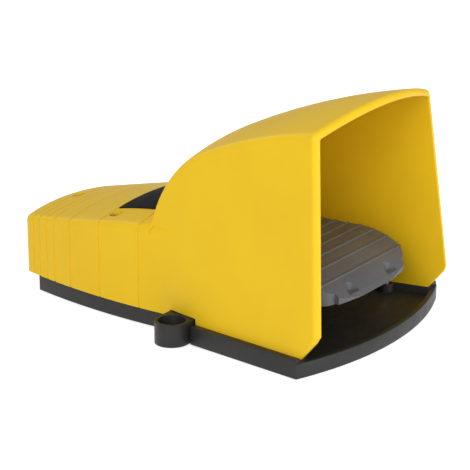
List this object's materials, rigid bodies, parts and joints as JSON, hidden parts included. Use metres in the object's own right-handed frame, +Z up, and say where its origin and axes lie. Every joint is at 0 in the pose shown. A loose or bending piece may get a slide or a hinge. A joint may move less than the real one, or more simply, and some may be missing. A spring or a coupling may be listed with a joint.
{
  "type": "industrial foot switch",
  "caption": "Guarded industrial foot switch: a ribbed pedal under a moulded hood drives two contact blocks in the rear housing; flat base with fixing lugs.",
  "frame": {"origin": "middle of the overall length and width, on the floor", "axes": "+Z up, -Y towards the foot opening, +Y towards the switch housing, +X to the right seen from the foot opening"},
  "size_m": [0.1616, 0.24, 0.142],
  "materials": {
    "yellow_plastic": "satin moulded polymer",
    "black_plastic": "matt moulded polymer",
    "grey_plastic": "satin moulded polymer",
    "label_black": "smooth plate",
    "white_plastic": "smooth moulded polymer",
    "light_plastic": "moulded polymer",
    "steel": "zinc plated",
    "brass": "plain",
    "rubber": "matt"
  },
  "bodies": {
    "housing": {"base": "black_plastic", "cover": "yellow_plastic", "label": "label_black", "axle": "steel", "axle_clips": "steel", "bearing_left": "steel", "bearing_right": "steel", "bearing_screws": "steel", "block_left": "light_plastic", "block_right": "light_plastic", "terminals_left": "brass", "terminals_right": "brass", "carrier": "steel", "carrier_screws": "steel", "pedal_spring": "steel", "spring_seat": "black_plastic", "stop_buffers": "rubber", "cover_screws": "steel", "base_screws": "steel", "foot_pads": "rubber"},
    "pedal_body": {"pedal": "grey_plastic", "actuator": "steel", "roller_pin": "steel"},
    "roller_body": {"roller": "white_plastic"},
    "plunger_l": {"plunger_left": "white_plastic"},
    "plunger_r": {"plunger_right": "white_plastic"}
  },
  "joints": [
    {"name": "pedal_hinge", "type": "hinge", "parent": "housing", "child": "pedal_body", "pos_m": [0, 0.008, 0.042], "axis": [1, 0, 0], "range_deg": [0, 7.5], "stiffness_Nm_per_rad": 10, "springref_deg": -8.59, "deforming": ["pedal_spring"]},
    {"name": "roller_spin", "type": "hinge", "parent": "pedal_body", "child": "roller_body", "pos_m": [0, 0.008, 0.016], "axis": [1, 0, 0], "continuous": true},
    {"name": "plunger_left_travel", "type": "slide", "parent": "housing", "child": "plunger_l", "axis": [0, 1, 0], "range_m": [0, 0.0036]},
    {"name": "plunger_right_travel", "type": "slide", "parent": "housing", "child": "plunger_r", "axis": [0, 1, 0], "range_m": [0, 0.0036]}
  ],
  "couplings": [
    {"joint": "plunger_left_travel", "follows": "pedal_hinge", "m_per_rad": 0.026},
    {"joint": "plunger_right_travel", "follows": "pedal_hinge", "m_per_rad": 0.026}
  ]
}
